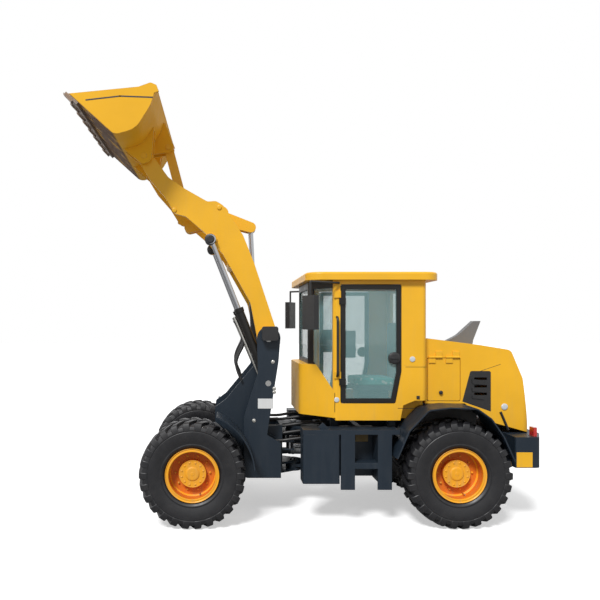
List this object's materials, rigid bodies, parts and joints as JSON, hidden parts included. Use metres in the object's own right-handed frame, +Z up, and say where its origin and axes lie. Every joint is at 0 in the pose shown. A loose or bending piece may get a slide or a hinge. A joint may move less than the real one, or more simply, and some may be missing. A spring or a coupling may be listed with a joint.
{
  "type": "wheel loader",
  "caption": "Articulated wheel loader with an enclosed cab, a raised boom on lift cylinders, a crank and link that tilt its bucket, lugged tyres and hinged doors.",
  "frame": {"origin": "middle of the bounding box on the ground, under the lowest points of the tyres", "axes": "+X forward towards the bucket, +Y to the machine's left, +Z up"},
  "size_m": [4.8978, 2.1046, 4.434],
  "materials": {
    "yellow_paint": "gloss",
    "slate_paint": "satin",
    "black_paint": "satin",
    "grey_paint": "satin",
    "rim_paint": "gloss",
    "tyre_rubber": "matte",
    "chrome_rod": "polished",
    "pin_steel": "satin",
    "worn_steel": "worn",
    "tinted_glass": "clear, lightly tinted",
    "seat_fabric": "woven",
    "black_plastic": "matte",
    "lamp_red": "gloss"
  },
  "bodies": {
    "rear_frame": {"frame_rails": "slate_paint", "frame_yoke": "slate_paint", "powertrain": "grey_paint", "rear_axle": "slate_paint", "side_boxes": "slate_paint", "counterweight": "slate_paint", "ladders": "slate_paint", "rear_fenders": "slate_paint", "tail_lamps": "lamp_red", "cab_tub": "yellow_paint", "cab_frame": "yellow_paint", "cab_front": "black_paint", "cab_glass": "tinted_glass", "cab_roof": "yellow_paint", "mirrors": "black_plastic", "seat": "seat_fabric", "steering_column": "black_plastic", "hood": "yellow_paint", "grilles": "black_plastic", "exhaust": "grey_paint"},
    "front_frame": {"front_frame": "slate_paint", "frame_pins": "pin_steel", "front_axle": "slate_paint", "tower_plates": "slate_paint", "tilt_mount": "slate_paint", "front_fenders": "slate_paint", "headlamps": "black_plastic"},
    "boom": {"boom_arms": "yellow_paint", "boom_tubes": "yellow_paint"},
    "bucket_pins": {"bucket_pins": "pin_steel"},
    "bucket": {"bucket": "yellow_paint", "bucket_edge": "worn_steel"},
    "crank_pin": {"crank_pin": "pin_steel"},
    "crank": {"crank": "yellow_paint"},
    "link_pin": {"link_pin": "pin_steel"},
    "link": {"link": "yellow_paint"},
    "lift_barrels": {"lift_barrels": "black_paint"},
    "lift_rods": {"lift_rods": "chrome_rod"},
    "tilt_pin": {"tilt_pin": "pin_steel"},
    "tilt_barrel": {"tilt_barrel": "black_paint"},
    "tilt_rod": {"tilt_rod": "chrome_rod"},
    "steer_barrel_left": {"steer_barrel_left": "black_paint"},
    "steer_rod_left": {"steer_rod_left": "chrome_rod"},
    "door_left": {"door_left": "black_paint", "door_glass_left": "tinted_glass"},
    "hood_door_left": {"hood_door_left": "yellow_paint"},
    "wheel_front_left": {"tyre_front_left": "tyre_rubber", "rim_front_left": "rim_paint"},
    "wheel_rear_left": {"tyre_rear_left": "tyre_rubber", "rim_rear_left": "rim_paint"},
    "steer_barrel_right": {"steer_barrel_right": "black_paint"},
    "steer_rod_right": {"steer_rod_right": "chrome_rod"},
    "door_right": {"door_right": "black_paint", "door_glass_right": "tinted_glass"},
    "hood_door_right": {"hood_door_right": "yellow_paint"},
    "wheel_front_right": {"tyre_front_right": "tyre_rubber", "rim_front_right": "rim_paint"},
    "wheel_rear_right": {"tyre_rear_right": "tyre_rubber", "rim_rear_right": "rim_paint"}
  },
  "joints": [
    {"name": "steer", "type": "hinge", "parent": "rear_frame", "child": "front_frame", "pos_m": [0.07111, 0, 0.665], "axis": [0, 0, 1], "range_deg": [-30, 30]},
    {"name": "wheel_front_left_spin", "type": "hinge", "parent": "front_frame", "child": "wheel_front_left", "pos_m": [1.17911, 0.765, 0.5375], "axis": [0, 1, 0], "continuous": true},
    {"name": "wheel_front_right_spin", "type": "hinge", "parent": "front_frame", "child": "wheel_front_right", "pos_m": [1.17911, -0.765, 0.5375], "axis": [0, 1, 0], "continuous": true},
    {"name": "wheel_rear_left_spin", "type": "hinge", "parent": "rear_frame", "child": "wheel_rear_left", "pos_m": [-1.48789, 0.765, 0.5375], "axis": [0, 1, 0], "continuous": true},
    {"name": "wheel_rear_right_spin", "type": "hinge", "parent": "rear_frame", "child": "wheel_rear_right", "pos_m": [-1.48789, -0.765, 0.5375], "axis": [0, 1, 0], "continuous": true},
    {"name": "lift", "type": "hinge", "parent": "front_frame", "child": "boom", "pos_m": [0.38611, 0, 1.9], "axis": [0, -1, 0], "range_deg": [-103, 0]},
    {"name": "bucket_hold", "type": "hinge", "parent": "boom", "child": "bucket_pins", "pos_m": [1.72111, 0, 3.86], "axis": [0, -1, 0], "range_deg": [-0.5, 102.3]},
    {"name": "bucket_tilt", "type": "hinge", "parent": "bucket_pins", "child": "bucket", "pos_m": [1.72111, 0, 3.86], "axis": [0, 1, 0], "range_deg": [-4, 85]},
    {"name": "crank_hold", "type": "hinge", "parent": "boom", "child": "crank_pin", "pos_m": [0.89111, 0, 3.258], "axis": [0, -1, 0], "range_deg": [-63.83, 0.5]},
    {"name": "crank_turn", "type": "hinge", "parent": "crank_pin", "child": "crank", "pos_m": [0.89111, 0, 3.258], "axis": [0, -1, 0], "range_deg": [-2.67, 46.66]},
    {"name": "link_hold", "type": "hinge", "parent": "bucket", "child": "link_pin", "pos_m": [1.49656, 0, 4.06001], "axis": [0, -1, 0], "range_deg": [-128.18, 0.5]},
    {"name": "link_turn", "type": "hinge", "parent": "link_pin", "child": "link", "pos_m": [1.49656, 0, 4.06001], "axis": [0, -1, 0], "range_deg": [-3.04, 54.46]},
    {"name": "lift_barrel_turn", "type": "hinge", "parent": "front_frame", "child": "lift_barrels", "pos_m": [0.39111, 0, 1.42], "axis": [0, -1, 0], "range_deg": [-90.77, 0.5]},
    {"name": "lift_rod_slide", "type": "slide", "parent": "lift_barrels", "child": "lift_rods", "axis": [0.368, 0, 0.9298], "range_m": [-0.7015, 0.004]},
    {"name": "tilt_hold", "type": "hinge", "parent": "front_frame", "child": "tilt_pin", "pos_m": [0.49111, 0, 1.6915], "axis": [0, -1, 0], "range_deg": [-103.98, 0.5]},
    {"name": "tilt_barrel_turn", "type": "hinge", "parent": "tilt_pin", "child": "tilt_barrel", "pos_m": [0.49111, 0, 1.6915], "axis": [0, -1, 0], "range_deg": [-9.06, 0.9]},
    {"name": "tilt_rod_slide", "type": "slide", "parent": "tilt_barrel", "child": "tilt_rod", "axis": [0.046, 0, 0.9989], "range_m": [-0.1869, 0.0117]},
    {"name": "steer_barrel_left_turn", "type": "hinge", "parent": "rear_frame", "child": "steer_barrel_left", "pos_m": [-0.47889, 0.25, 0.71], "axis": [0, 0, 1], "range_deg": [-2.56, 2.56]},
    {"name": "steer_rod_left_slide", "type": "slide", "parent": "steer_barrel_left", "child": "steer_rod_left", "axis": [0.9997, -0.0246, 0], "range_m": [-0.1214, 0.1214]},
    {"name": "door_left_swing", "type": "hinge", "parent": "rear_frame", "child": "door_left", "pos_m": [-0.33089, 0.752, 1.238], "axis": [0, 0, -1], "range_deg": [0, 80]},
    {"name": "hood_door_left_swing", "type": "hinge", "parent": "rear_frame", "child": "hood_door_left", "pos_m": [-1.27889, 0.612, 1.702], "axis": [1, 0, 0], "range_deg": [0, 75]},
    {"name": "steer_barrel_right_turn", "type": "hinge", "parent": "rear_frame", "child": "steer_barrel_right", "pos_m": [-0.47889, -0.25, 0.71], "axis": [0, 0, 1], "range_deg": [-2.56, 2.56]},
    {"name": "steer_rod_right_slide", "type": "slide", "parent": "steer_barrel_right", "child": "steer_rod_right", "axis": [0.9997, 0.0246, 0], "range_m": [-0.1214, 0.1214]},
    {"name": "door_right_swing", "type": "hinge", "parent": "rear_frame", "child": "door_right", "pos_m": [-0.33089, -0.752, 1.238], "axis": [0, 0, 1], "range_deg": [0, 80]},
    {"name": "hood_door_right_swing", "type": "hinge", "parent": "rear_frame", "child": "hood_door_right", "pos_m": [-1.27889, -0.612, 1.702], "axis": [-1, 0, 0], "range_deg": [0, 75]}
  ],
  "couplings": [
    {"joint": "bucket_hold", "follows": "lift", "ratio": -0.98835},
    {"joint": "crank_hold", "follows": "lift", "ratio": 0.61486},
    {"joint": "crank_turn", "follows": "bucket_tilt", "ratio": 0.54305},
    {"joint": "link_hold", "follows": "lift", "ratio": 1.2396},
    {"joint": "link_turn", "follows": "bucket_tilt", "ratio": 0.63486},
    {"joint": "lift_barrel_turn", "follows": "lift", "ratio": 0.87638},
    {"joint": "lift_rod_slide", "follows": "lift", "m_per_rad": 0.38802},
    {"joint": "tilt_hold", "follows": "lift", "ratio": 1.0047},
    {"joint": "tilt_barrel_turn", "follows": "bucket_tilt", "ratio": -0.10067},
    {"joint": "tilt_rod_slide", "follows": "bucket_tilt", "m_per_rad": -0.12396},
    {"joint": "steer_barrel_left_turn", "follows": "steer", "ratio": 0.068657},
    {"joint": "steer_rod_left_slide", "follows": "steer", "m_per_rad": -0.22801},
    {"joint": "steer_barrel_right_turn", "follows": "steer", "ratio": 0.068657},
    {"joint": "steer_rod_right_slide", "follows": "steer", "m_per_rad": 0.22801}
  ]
}
